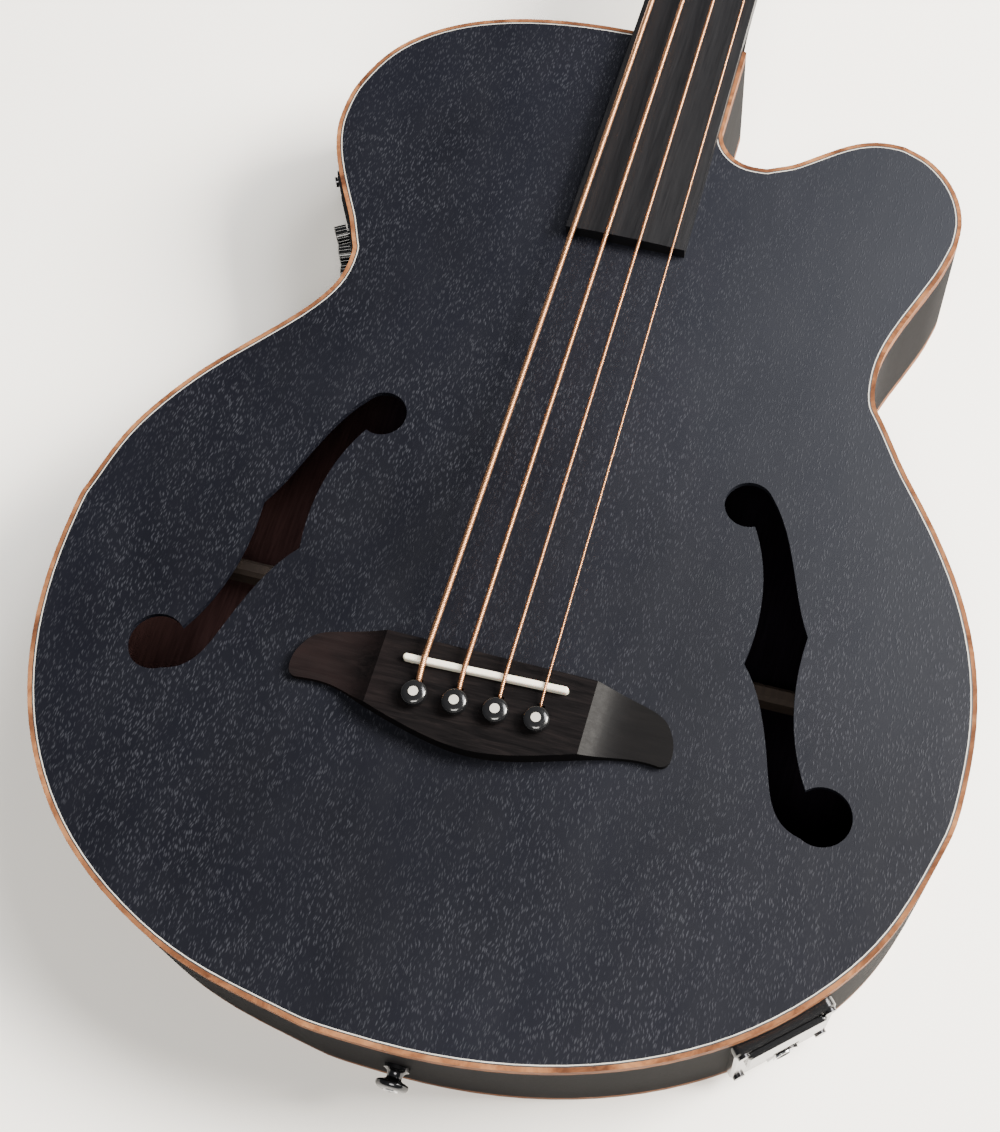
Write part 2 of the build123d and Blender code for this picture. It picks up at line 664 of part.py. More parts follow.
with BuildPart() as fingerboard:
    with BuildSketch(Plane.XY.offset(TOP_Z)):
        Polygon(
            (-BOARD_END_HALF, BOARD_END_Y), (BOARD_END_HALF, BOARD_END_Y),
            (NUT_HALF, SCALE), (-NUT_HALF, SCALE), align=None,
        )
    extrude(amount=BOARD_THICK)
    with BuildSketch(Plane.XZ):
        with Locations((0, BOARD_TOP - BOARD_CAMBER_R)):
            Circle(BOARD_CAMBER_R)
    extrude(amount=-2 * SCALE, mode=Mode.INTERSECT)
    for y in DOT_SPOTS:
        with BuildSketch(Plane.YZ.offset(-board_half(y) - 1)):
            with Locations((y, DOT_Z)):
                Circle(DOT_R)
        extrude(amount=1 + DOT_DEPTH, mode=Mode.SUBTRACT)
finish(fingerboard.part, "fingerboard")

with BuildPart() as side_dots:
    for y in DOT_SPOTS:
        with BuildSketch(Plane.YZ.offset(-board_half(y))):
            with Locations((y, DOT_Z)):
                Circle(DOT_R)
        extrude(amount=DOT_DEPTH)
finish(side_dots.part, "side_dots")

ROD_R = 3.0
with BuildPart() as truss_rod:
    with BuildSketch(Plane.XZ.offset(-406)):
        with Locations((0, TOP_Z - 6)):
            Circle(ROD_R)
    extrude(amount=-(SCALE + NUT_THICK + 14 - 406))
finish(truss_rod.part, "truss_rod")

COVER_THICK = 1.6
with BuildPart() as truss_rod_cover:
    with BuildSketch(HEAD_FACE):
        with BuildLine():
            Line((-11, 1.5), (11, 1.5))
            Line((11, 1.5), (11, 9))
            Spline((11, 9), (4.6, 23), (0, 36), tangents=((0, 1), (-1, 0)))
            Spline((0, 36), (-4.6, 23), (-11, 9), tangents=((-1, 0), (0, -1)))
            Line((-11, 9), (-11, 1.5))
        make_face()
        with Locations(*COVER_SCREWS):
            Circle(SCREW_R + 0.1, mode=Mode.SUBTRACT)
    extrude(amount=COVER_THICK)
finish(truss_rod_cover.part, "truss_rod_cover")

STRING_LIFT = 0.6                      # under each string at the nut
NUT_BREAK = 2.6                        # where the strings turn down, behind the nut's front face
with BuildPart() as nut:
    with BuildSketch(Plane.XY.offset(TOP_Z)):
        with Locations((0, SCALE + NUT_THICK / 2)):
            Rectangle(2 * NUT_HALF, NUT_THICK)
    extrude(amount=NUT_TOP - TOP_Z)
    fillet(nut.faces().sort_by(Axis.Z)[-1].edges().filter_by(Axis.X), 1.0)
    for _, dia, _, x in STRINGS:
        middle = BOARD_TOP + STRING_LIFT + dia / 2
        for start, slack, drop in ((-1, 0.05, 0), (NUT_BREAK, 0.5, 0.2)):
            with BuildSketch(Plane.XZ.offset(-SCALE - start)):
                with Locations((x, middle - drop)):
                    Circle(dia / 2 + slack)
                with Locations((x, middle - drop + 5)):
                    Rectangle(dia + 2 * slack, 10)
            extrude(amount=-NUT_THICK - 2, mode=Mode.SUBTRACT)
finish(nut.part, "nut")

# ================================================================ strings and tuners
WRAP_HEIGHT = 10.0                     # where a string meets its post, above the headstock's face
WRAP_GAP = 0.3


def inward(x):
    """-1 or 1: the way from a tuner to the centre line."""
    return -1 if x > 0 else 1


for (name, dia, bridge_x, nut_x), (_, _, post_x, post_y) in zip(STRINGS, TUNERS):
    r = dia / 2
    pin_y = saddle_y(bridge_x) - PIN_BACK
    wrap_x = post_x + inward(post_x) * (POST_R + r + WRAP_GAP)
    at_nut = Vector(nut_x, SCALE + NUT_BREAK, BOARD_TOP + STRING_LIFT + r + 0.02)
    at_post = HEAD_FACE.from_local_coords(Vector(wrap_x, post_y, WRAP_HEIGHT))
    fall = (at_post - at_nut) * (4 / (at_post - at_nut).Y)
    string = round_rod(
        (
            (bridge_x, pin_y + 3.4, TOP_Z - 1),
            (bridge_x, pin_y + 3.9, BRIDGE_TOP + 0.6),
            (bridge_x, saddle_y(bridge_x) - 1.7, SADDLE_TOP + r - 0.2),
            (bridge_x, saddle_y(bridge_x) + 0.3, SADDLE_TOP + r + 0.12),
            tuple(at_nut),
            (nut_x + fall.X / 2, SCALE + NUT_BREAK + 4, at_nut.Z + fall.Z / 2),
            tuple(at_post),
        ),
        r,
    )
    finish(string, f"string_{name}")

GEAR_TOP = -HEAD_THICK - PLATE_THICK - 1.3
GEAR_MID = GEAR_TOP - GEAR_H / 2
GEAR_TEETH = 20
WORM_OFFSET = GEAR_R + WORM_R + 0.2
EAR_INNER, EAR_THICK = WORM_LENGTH / 2 + 0.4, 3.0
KEY_START, KEY_LENGTH, KEY_WIDTH, KEY_THICK = 21.0, 23.0, 25.0, 7.0

with BuildPart() as tuner_plates:
    for _, _, x, y in TUNERS:
        with BuildSketch(HEAD_FACE.offset(-HEAD_THICK)):
            with Locations((x, y + (PLATE_LOW + PLATE_HIGH) / 2)):
                RectangleRounded(30, PLATE_HIGH - PLATE_LOW, 4)
            with Locations((x, y)):
                Circle(POST_R + RUNNING, mode=Mode.SUBTRACT)
        extrude(amount=-PLATE_THICK)
        for way in (-1, 1):
            with BuildSketch(HEAD_FACE.offset(-HEAD_THICK - PLATE_THICK)):
                with Locations((x + way * (EAR_INNER + EAR_THICK / 2), y + WORM_OFFSET)):
                    Rectangle(EAR_THICK, 9)
            extrude(amount=GEAR_MID + HEAD_THICK + PLATE_THICK - 4)
    with BuildSketch(HEAD_FACE.offset(-HEAD_THICK)):
        with Locations(*PLATE_SCREWS):
            Circle(SCREW_R + 0.1)
    extrude(amount=-PLATE_THICK, mode=Mode.SUBTRACT)
    for _, _, x, y in TUNERS:
        bore = Plane(
            origin=HEAD_FACE.from_local_coords(Vector(x - 20, y + WORM_OFFSET, GEAR_MID)),
            x_dir=HEAD_FACE.y_dir, z_dir=(1, 0, 0),
        )
        with BuildSketch(bore):
            Circle(KEY_SHAFT_R + RUNNING)
        extrude(amount=40, mode=Mode.SUBTRACT)
finish(tuner_plates.part, "tuner_plates")

with BuildPart() as tuner_bushings:
    for _, _, x, y in TUNERS:
        with BuildSketch(HEAD_FACE.offset(-6)):
            with Locations((x, y)):
                Circle(POST_R + 0.95)
        extrude(amount=6)
        with BuildSketch(HEAD_FACE):
            with Locations((x, y)):
                Circle(POST_R + 3)
        extrude(amount=1.5)
        with BuildSketch(HEAD_FACE.offset(-7)):
            with Locations((x, y)):
                Circle(POST_R + RUNNING)
        extrude(amount=9, mode=Mode.SUBTRACT)
finish(tuner_bushings.part, "tuner_bushings")

for name, dia, x, y in TUNERS:
    r = dia / 2
    with BuildPart() as post:
        with BuildSketch(HEAD_FACE.offset(GEAR_TOP)):
            with Locations((x, y)):
                Circle(POST_R)
        extrude(amount=POST_HEIGHT - GEAR_TOP)
        chamfer(post.faces().sort_by(Axis.Z)[-1].edges(), 0.8)
        with BuildSketch(HEAD_FACE.offset(GEAR_TOP - GEAR_H)):
            with Locations((x, y)):
                Circle(GEAR_R)
                with PolarLocations(GEAR_R, GEAR_TEETH):
                    Circle(0.75, mode=Mode.SUBTRACT)
        extrude(amount=GEAR_H)
        with BuildSketch(HEAD_FACE.offset(POST_HEIGHT)):
            with Locations((x, y)):
                Rectangle(2 * POST_R + 2, 2.9)
        extrude(amount=-7, mode=Mode.SUBTRACT)
        for turn in range(2):
            spot = HEAD_FACE.from_local_coords(
                Vector(x, y, WRAP_HEIGHT - WRAP_GAP - dia - turn * 1.06 * dia)
            )
            with BuildSketch(Plane(origin=spot, x_dir=(1, 0, 0), z_dir=-HEAD_FACE.y_dir)):
                with Locations((POST_R + r + 0.03, 0)):
                    Circle(r)
            revolve(axis=Axis(spot, HEAD_FACE.z_dir))
    finish(post.part, f"tuner_post_{name}")

for name, _, x, y in TUNERS:
    way = -inward(x)
    shaft = Plane(
        origin=HEAD_FACE.from_local_coords(Vector(x, y + WORM_OFFSET, GEAR_MID)),
        x_dir=HEAD_FACE.y_dir, z_dir=(way, 0, 0),
    )
    blade = Plane(
        origin=shaft.from_local_coords(Vector(0, 0, KEY_START + KEY_LENGTH / 2)),
        x_dir=shaft.z_dir, z_dir=HEAD_FACE.z_dir,
    )
    with BuildPart() as key:
        with BuildSketch(blade):
            Ellipse(KEY_LENGTH / 2, KEY_WIDTH / 2)
        extrude(amount=KEY_THICK / 2, both=True)
        chamfer(key.edges().filter_by(GeomType.ELLIPSE), 1.2)
        with BuildSketch(shaft.offset(-EAR_INNER - EAR_THICK)):
            Circle(KEY_SHAFT_R)
        extrude(amount=EAR_INNER + EAR_THICK + KEY_START + 3)
        with BuildSketch(shaft.offset(-WORM_LENGTH / 2)):
            Circle(WORM_R)
        extrude(amount=WORM_LENGTH)
        for groove in range(-2, 2):
            with BuildSketch(shaft.offset(groove * 2.83 + 0.8)):
                Circle(WORM_R + 1)
                Circle(WORM_R - 0.8, mode=Mode.SUBTRACT)
            extrude(amount=1.2, mode=Mode.SUBTRACT)
        with BuildSketch(shaft.offset(EAR_INNER + EAR_THICK + 0.4)):
            Circle(KEY_SHAFT_R + 1.4)
        extrude(amount=2.0)
        with BuildSketch(shaft.offset(KEY_START - 3)):
            Circle(KEY_SHAFT_R + 1.2)
        extrude(amount=4.5)
    finish(key.part, f"tuner_key_{name}")

with BuildPart() as headstock_screws:
    for plane, spots, sense in (
        (HEAD_FACE.offset(-HEAD_THICK - PLATE_THICK), PLATE_SCREWS, 1),
        (HEAD_FACE.offset(COVER_THICK), COVER_SCREWS, -1),
    ):
        with BuildSketch(plane):
            with Locations(*spots):
                Circle(SCREW_HEAD_R)
        extrude(amount=-sense * SCREW_HEAD_H)
        with BuildSketch(plane):
            with Locations(*spots):
                Circle(SCREW_R)
        extrude(amount=sense * SCREW_L)
finish(headstock_screws.part, "headstock_screws")

# ================================================================ preamp on the bass waist
# name, share of the way from the upper bout to the waist, height
KNOBS = (("treble", 0.64, 48.0), ("middle", 0.78, 48.0), ("bass", 0.915, 48.0), ("volume", 0.50, 26.0))
BUTTONS = (("phase", 0.68, 26.0), ("tuner", 0.84, 26.0))
KNOB_SHAFT_R, KNOB_SHAFT_L = 1.6, 9.0
DISPLAY = (0.47, 47.0, 13.0, 8.0)      # share, height, width, depth of the window
PANEL_SCREWS = ((0.35, 16.0), (0.35, 56.0), (0.985, 16.0), (0.985, 56.0))
HOUSING_DEPTH = 24.0


def display_block(plane, grow, low, high):
    """The display's slab, or with some growth the pocket that takes it."""
    with BuildPart() as block:
        with BuildSketch(plane.offset(low)):
            RectangleRounded(DISPLAY[2] + grow, DISPLAY[3] + grow, 1)
        extrude(amount=high - low)
    return block.part


with BuildPart() as preamp_panel:
    with BuildSketch(Plane.XY):
        add(ring_face(-PANEL_PROUD, 0))
        with Locations((-150, WAIST_Y + 26)):
            Rectangle(100, 100, mode=Mode.INTERSECT)
    extrude(amount=BODY_DEPTH)
    with BuildSketch(PREAMP_PLANE.offset(-30)):
        RectangleRounded(68, PANEL_HIGH_Z - PANEL_LOW_Z, 5)
    extrude(amount=60, mode=Mode.INTERSECT)
    for _, share, z in KNOBS:
        with BuildSketch(bass_plane(share, z).offset(-3)):
            Circle(KNOB_SHAFT_R + 0.5)
        extrude(amount=8, mode=Mode.SUBTRACT)
    for _, share, z in BUTTONS:
        with BuildSketch(bass_plane(share, z).offset(-3)):
            Circle(BUTTON_R + 0.25)
        extrude(amount=8, mode=Mode.SUBTRACT)
    for share, z in PANEL_SCREWS:
        with BuildSketch(bass_plane(share, z).offset(-3)):
            Circle(SCREW_R + 0.1)
        extrude(amount=8, mode=Mode.SUBTRACT)
    add(display_block(bass_plane(*DISPLAY[:2]), 0.2, 0.5, 6), mode=Mode.SUBTRACT)
finish(preamp_panel.part, "preamp_panel")

with BuildPart() as preamp_display:
    add(display_block(bass_plane(*DISPLAY[:2]), 0, 0.5, PANEL_PROUD + 0.5))
finish(preamp_display.part, "preamp_display")

with BuildPart() as preamp_housing:
    with BuildSketch(Plane.XY):
        add(ring_face(0, HOUSING_DEPTH))
        with Locations((-150, WAIST_Y + 26)):
            Rectangle(120, 120, mode=Mode.INTERSECT)
    extrude(amount=BODY_DEPTH)
    with BuildSketch(PREAMP_PLANE.offset(-60)):
        RectangleRounded(2 * PREAMP_WINDOW_HALF_W - 0.4, 2 * PREAMP_WINDOW_HALF_H - 0.4, 3)
    extrude(amount=90, mode=Mode.INTERSECT)
    for _, share, z in KNOBS:
        with BuildSketch(bass_plane(share, z).offset(3)):
            Circle(KNOB_SHAFT_R + RUNNING)
        extrude(amount=-3 - KNOB_SHAFT_L, mode=Mode.SUBTRACT)
    for _, share, z in BUTTONS:
        with BuildSketch(bass_plane(share, z).offset(3)):
            Circle(BUTTON_R + 0.25)
        extrude(amount=-3 - 4.0 - BUTTON_TRAVEL, mode=Mode.SUBTRACT)
finish(preamp_housing.part, "preamp_housing")

for name, share, z in KNOBS:
    plane = bass_plane(share, z)
    with BuildPart() as knob:
        with BuildSketch(plane.offset(PANEL_PROUD + KNOB_GAP)):
            Circle(KNOB_R)
            with PolarLocations(KNOB_R + 0.25, 18):
                Circle(0.55, mode=Mode.SUBTRACT)
        extrude(amount=KNOB_HEIGHT)
        chamfer(knob.faces().sort_by(Axis(plane.origin, plane.z_dir))[-1].edges(), 0.4)
        with BuildSketch(plane.offset(PANEL_PROUD + KNOB_GAP + KNOB_HEIGHT)):
            with Locations((0, KNOB_R - 2.2)):
                Rectangle(0.8, 3.2)
        extrude(amount=-0.5, mode=Mode.SUBTRACT)
        with BuildSketch(plane.offset(PANEL_PROUD + KNOB_GAP)):
            Circle(KNOB_SHAFT_R)
        extrude(amount=-(PANEL_PROUD + KNOB_GAP + KNOB_SHAFT_L - 0.3))
    finish(knob.part, f"knob_{name}")

for name, share, z in BUTTONS:
    plane = bass_plane(share, z)
    with BuildPart() as button:
        with BuildSketch(plane.offset(-3.8)):
            Circle(BUTTON_R)
        extrude(amount=3.8 + PANEL_PROUD + BUTTON_RISE)
        fillet(button.faces().sort_by(Axis(plane.origin, plane.z_dir))[-1].edges(), 0.7)
    finish(button.part, f"{name}_button")

# ================================================================ battery and jack plate
def body_block():
    """The whole body as one block, for trimming what sits against its rim."""
    with BuildPart() as block:
        with BuildSketch():
            add(body_face())
        extrude(amount=BODY_DEPTH)
    return block.part


BODY_BLOCK = body_block()
DRAWER_PLANE = box_plane(DRAWER_Z)
JACK_PLANE = box_plane(JACK_Z)
BOX_SCREWS = [
    BOX_PLANE.offset(PLATE_PROUD).from_local_coords(Vector(x, y, 0))
    for x in (-19.5, 19.5) for y in (-23.5, 23.5)
]

with BuildPart() as battery_bezel:
    with BuildSketch(BOX_PLANE.offset(-6)):
        RectangleRounded(2 * PLATE_HALF_W, 2 * PLATE_HALF_H, 4)
    extrude(amount=6 + PLATE_PROUD)
    chamfer(battery_bezel.faces().sort_by(Axis(BOX_PLANE.origin, BOX_PLANE.z_dir))[-1].edges(), 1.0)
    add(BODY_BLOCK, mode=Mode.SUBTRACT)
    with BuildSketch(DRAWER_PLANE.offset(-8)):
        Rectangle(2 * TRAY_HALF_W + 0.8, 2 * TRAY_HALF_H + 0.8)
    extrude(amount=20, mode=Mode.SUBTRACT)
    with BuildSketch(JACK_PLANE.offset(-8)):
        Circle(JACK_R + 0.05)
    extrude(amount=20, mode=Mode.SUBTRACT)
    for spot in BOX_SCREWS:
        with BuildSketch(Plane(origin=spot, z_dir=BOX_PLANE.z_dir)):
            Circle(SCREW_R + 0.1)
        extrude(amount=10, both=True, mode=Mode.SUBTRACT)
finish(battery_bezel.part, "battery_bezel")

with BuildPart() as battery_housing:
    with BuildSketch(DRAWER_PLANE.offset(-TRAY_DEPTH - 3)):
        Rectangle(2 * TRAY_HALF_W + 3.8, 2 * TRAY_HALF_H + 3.8)
    extrude(amount=TRAY_DEPTH + 10)
    add(BODY_BLOCK, mode=Mode.INTERSECT)
    with BuildSketch(DRAWER_PLANE.offset(-TRAY_DEPTH - 0.6)):
        Rectangle(2 * TRAY_HALF_W + 0.8, 2 * TRAY_HALF_H + 0.8)
    extrude(amount=TRAY_DEPTH + 20, mode=Mode.SUBTRACT)
finish(battery_housing.part, "battery_housing")

FRONT_THICK = 2.4
with BuildPart() as battery_drawer:
    with BuildSketch(DRAWER_PLANE.offset(-TRAY_DEPTH)):
        Rectangle(2 * TRAY_HALF_W, 2 * TRAY_HALF_H)
    extrude(amount=TRAY_DEPTH + PLATE_PROUD + 0.2)
    with BuildSketch(DRAWER_PLANE.offset(PLATE_PROUD + 0.2)):
        RectangleRounded(2 * DRAWER_HALF_W, 2 * DRAWER_HALF_H, 2.5)
    extrude(amount=FRONT_THICK)
    chamfer(
        battery_drawer.faces().sort_by(Axis(DRAWER_PLANE.origin, DRAWER_PLANE.z_dir))[-1].edges(), 0.8
    )
    with BuildSketch(DRAWER_PLANE.offset(PLATE_PROUD + 0.2 + FRONT_THICK)):
        with Locations((0, -DRAWER_HALF_H + 2.2)):
            SlotOverall(12, 2.6)
    extrude(amount=-1.2, mode=Mode.SUBTRACT)
    with BuildSketch(DRAWER_PLANE.offset(-TRAY_DEPTH + 1)):
        with Locations((0, 5)):
            Rectangle(26.8, 27.2)
    extrude(amount=TRAY_DEPTH - 3, mode=Mode.SUBTRACT)
finish(battery_drawer.part, "battery_drawer")

with BuildPart() as battery:
    with BuildSketch(DRAWER_PLANE.offset(-TRAY_DEPTH + 3)):
        with Locations((0, 0.4)):
            RectangleRounded(26.2, 17.4, 1.5)
    extrude(amount=45.5)
    for x in (-6.3, 6.3):
        with BuildSketch(DRAWER_PLANE.offset(-TRAY_DEPTH + 3)):
            with Locations((x, 0.4)):
                Circle(3.2)
        extrude(amount=-1.6)
finish(battery.part, "battery")

with BuildPart() as output_jack:
    with BuildSketch(JACK_PLANE.offset(-JACK_BORE_DEPTH - 4)):
        Circle(JACK_R)
    extrude(amount=JACK_BORE_DEPTH + 4 + PLATE_PROUD + 2.6)
    with BuildSketch(JACK_PLANE.offset(PLATE_PROUD + 2.6)):
        Circle(JACK_BORE_R)
    extrude(amount=-JACK_BORE_DEPTH, mode=Mode.SUBTRACT)
finish(output_jack.part, "output_jack")

with BuildPart() as jack_nut:
    with BuildSketch(JACK_PLANE.offset(PLATE_PROUD)):
        RegularPolygon(7.2, 6)
        Circle(JACK_R + 0.05, mode=Mode.SUBTRACT)
    extrude(amount=2.2)
finish(jack_nut.part, "jack_nut")

with BuildPart() as panel_screws:
    for share, z in PANEL_SCREWS:
        with BuildSketch(bass_plane(share, z).offset(PANEL_PROUD + 0.3)):
            Circle(SCREW_HEAD_R)
        extrude(amount=SCREW_HEAD_H)
        with BuildSketch(bass_plane(share, z).offset(PANEL_PROUD + 0.3)):
            Circle(SCREW_R)
        extrude(amount=-(PANEL_PROUD + 0.2))
    for spot in BOX_SCREWS:
        with BuildSketch(Plane(origin=spot, z_dir=BOX_PLANE.z_dir)):
            Circle(SCREW_HEAD_R)
        extrude(amount=SCREW_HEAD_H)
        with BuildSketch(Plane(origin=spot, z_dir=BOX_PLANE.z_dir)):
            Circle(SCREW_R)
        extrude(amount=-(PLATE_PROUD - 0.1))
finish(panel_screws.part, "panel_screws")

# ================================================================ strap buttons
STRAP_HEIGHT = 10.0
TAIL_SEAT = Plane(origin=(TAIL_BUTTON_X, TAIL_Y, BODY_DEPTH / 2), x_dir=(1, 0, 0), z_dir=(0, -1, 0))
HEEL_SEAT = Plane(
    origin=(-HEEL_SEAT_X, HEEL_BUTTON_Y, HEEL_BUTTON_Z), x_dir=(0, 0, 1), z_dir=(-1, 0, 0)
)

with BuildPart() as strap_buttons:
    for seat in (TAIL_SEAT, HEEL_SEAT):
        profile = Plane(origin=seat.origin, x_dir=seat.x_dir, z_dir=-seat.y_dir)
        with BuildSketch(profile):
            with BuildLine():
                Polyline((STRAP_SCREW_R + 0.1, 0), (STRAP_BASE_R, 0), (STRAP_BASE_R, 1.6))
                Bezier((STRAP_BASE_R, 1.6), (STRAP_NECK_R, 2), (STRAP_NECK_R, 4), (STRAP_NECK_R, 5))
                Bezier((STRAP_NECK_R, 5), (STRAP_NECK_R, 6.4), (STRAP_FLANGE_R, 6), (STRAP_FLANGE_R, 7.6))
                Bezier(
                    (STRAP_FLANGE_R, 7.6), (STRAP_FLANGE_R, 9.4),
                    (STRAP_FLANGE_R - 1.4, STRAP_HEIGHT), (3.4, STRAP_HEIGHT),
                )
                Polyline(
                    (3.4, STRAP_HEIGHT), (STRAP_SCREW_R + 0.1, STRAP_HEIGHT - 1.8),
                    (STRAP_SCREW_R + 0.1, 0),
                )
            make_face()
        revolve(axis=Axis(seat.origin, seat.z_dir))
finish(strap_buttons.part, "strap_buttons")

with BuildPart() as strap_screws:
    for seat in (TAIL_SEAT, HEEL_SEAT):
        profile = Plane(origin=seat.origin, x_dir=seat.x_dir, z_dir=-seat.y_dir)
        with BuildSketch(profile):
            Polygon(
                (0, -STRAP_SCREW_L + 2), (STRAP_SCREW_R, -STRAP_SCREW_L + 4),
                (STRAP_SCREW_R, STRAP_HEIGHT - 1.9), (3.3, STRAP_HEIGHT - 0.1),
                (3.0, STRAP_HEIGHT + 0.4), (0, STRAP_HEIGHT + 0.8), align=None,
            )
        revolve(axis=Axis(seat.origin, seat.z_dir))
        with BuildSketch(seat.offset(STRAP_HEIGHT + 1)):
            Rectangle(3.6, 0.8)
            Rectangle(0.8, 3.6)
        extrude(amount=-1.4, mode=Mode.SUBTRACT)
finish(strap_screws.part, "strap_screws")

# ================================================================ internal leads
def behind(plane, x, y, depth):
    """A point behind a plane on the rim, inside the body."""
    return tuple(plane.from_local_coords(Vector(x, y, -depth)))


PREAMP_END = HOUSING_DEPTH + 1.5
JACK_END = JACK_BORE_DEPTH + 4.2
PICKUP_ROUTE = (
    (LEAD_HOLE[0], LEAD_HOLE[1], BRIDGE_TOP - SLOT_DEPTH),
    (LEAD_HOLE[0], LEAD_HOLE[1], 51.0),
    (-50.0, 48.0, 50.0),
    (-74.0, 128.0, 48.0),
    behind(PREAMP_PLANE, 8, 7, PREAMP_END + 26),
    behind(PREAMP_PLANE, 8, 7, PREAMP_END),
)
OUTPUT_ROUTE = (
    behind(PREAMP_PLANE, 14, -8, PREAMP_END),
    behind(PREAMP_PLANE, 14, -8, PREAMP_END + 16),
    (-62.0, 128.0, 20.0),
    (-28.0, 62.0, 19.0),
    (48.0, -12.0, 19.5),
    behind(JACK_PLANE, 0, 0, JACK_END + 30),
    behind(JACK_PLANE, 0, 0, JACK_END),
)

with BuildPart() as internal_leads:
    add(round_rod(PICKUP_ROUTE, LEAD_R))
    add(round_rod(OUTPUT_ROUTE, LEAD_R))
finish(internal_leads.part, "internal_leads")
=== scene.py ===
"""Fretless acoustic-electric bass guitar: the looks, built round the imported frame.

Everything is in metres in the frame's own axes: +Y up the neck, +X the treble side with the
cutaway, +Z out of the top, and the back lies on z = 0.
"""
import bpy
import json
from math import cos, radians, sin
from mathutils import Matrix, Vector


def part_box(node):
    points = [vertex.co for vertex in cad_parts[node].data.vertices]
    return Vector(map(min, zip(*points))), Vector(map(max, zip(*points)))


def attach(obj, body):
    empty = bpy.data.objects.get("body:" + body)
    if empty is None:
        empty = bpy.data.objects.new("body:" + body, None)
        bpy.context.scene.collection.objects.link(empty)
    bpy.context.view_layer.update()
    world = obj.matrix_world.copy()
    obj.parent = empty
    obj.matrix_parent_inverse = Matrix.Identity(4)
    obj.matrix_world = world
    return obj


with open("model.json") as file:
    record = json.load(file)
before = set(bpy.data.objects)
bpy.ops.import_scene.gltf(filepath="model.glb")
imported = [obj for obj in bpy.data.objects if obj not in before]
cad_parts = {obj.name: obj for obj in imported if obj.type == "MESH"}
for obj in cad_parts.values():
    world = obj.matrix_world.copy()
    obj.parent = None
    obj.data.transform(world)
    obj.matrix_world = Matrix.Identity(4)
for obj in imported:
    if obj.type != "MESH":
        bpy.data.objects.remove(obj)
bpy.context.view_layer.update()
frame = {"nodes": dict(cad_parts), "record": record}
nodes = frame["nodes"]

# ---------------------------------------------------------------- places, in metres
BODY_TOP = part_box("top_plate")[1][2]
RUB_SPOT, RUB_SOLID, RUB_REACH = (-0.1245, -0.1335, BODY_TOP), 0.0012, 0.0042
# between these the top's colour is lightened towards the treble horn, as a painted sheen
PAINTED_SHEEN_FROM, PAINTED_SHEEN_TO = (-0.04, -0.12), (0.17, 0.26)
BACK_INSIDE_Z = 0.0022
# between these the back's inner face goes from painted light on the bass side to painted shade towards
# the treble side
BACK_PAINTED_LIT_X, BACK_PAINTED_SHADE_X = -0.135, -0.085
BRIDGE_RED_FROM_X, BRIDGE_RED_TO_X = -0.030, -0.062
# from here the bridge's treble scoop is painted paler, as painted light
SCOOP_FROM_X, SCOOP_TO_X = 0.0462, 0.0472

# ---------------------------------------------------------------- camera
EYE = (0.13563, -0.24864, 0.7839)
TURNS = (("Z", 0.56), ("X", -23.459), ("Y", -8.399), ("Z", -13.729))
LENS_MM, SENSOR_MM = 57.24, 36.0
SHIFT = (-0.0707, 0.0)


def add_camera():
    """The camera at the photograph's viewing angle."""
    data = bpy.data.cameras.new("camera")
    data.sensor_fit = "VERTICAL"
    data.sensor_height = SENSOR_MM
    data.lens = LENS_MM
    data.shift_x, data.shift_y = SHIFT
    data.clip_start, data.clip_end = 0.02, 20
    camera = bpy.data.objects.new("camera", data)
    turn = Matrix.Identity(3)
    for axis, angle in TURNS:
        turn = Matrix.Rotation(radians(angle), 3, axis) @ turn
    camera.matrix_world = Matrix.Translation(EYE) @ turn.transposed().to_4x4()
    bpy.context.scene.collection.objects.link(camera)
    bpy.context.scene.camera = camera


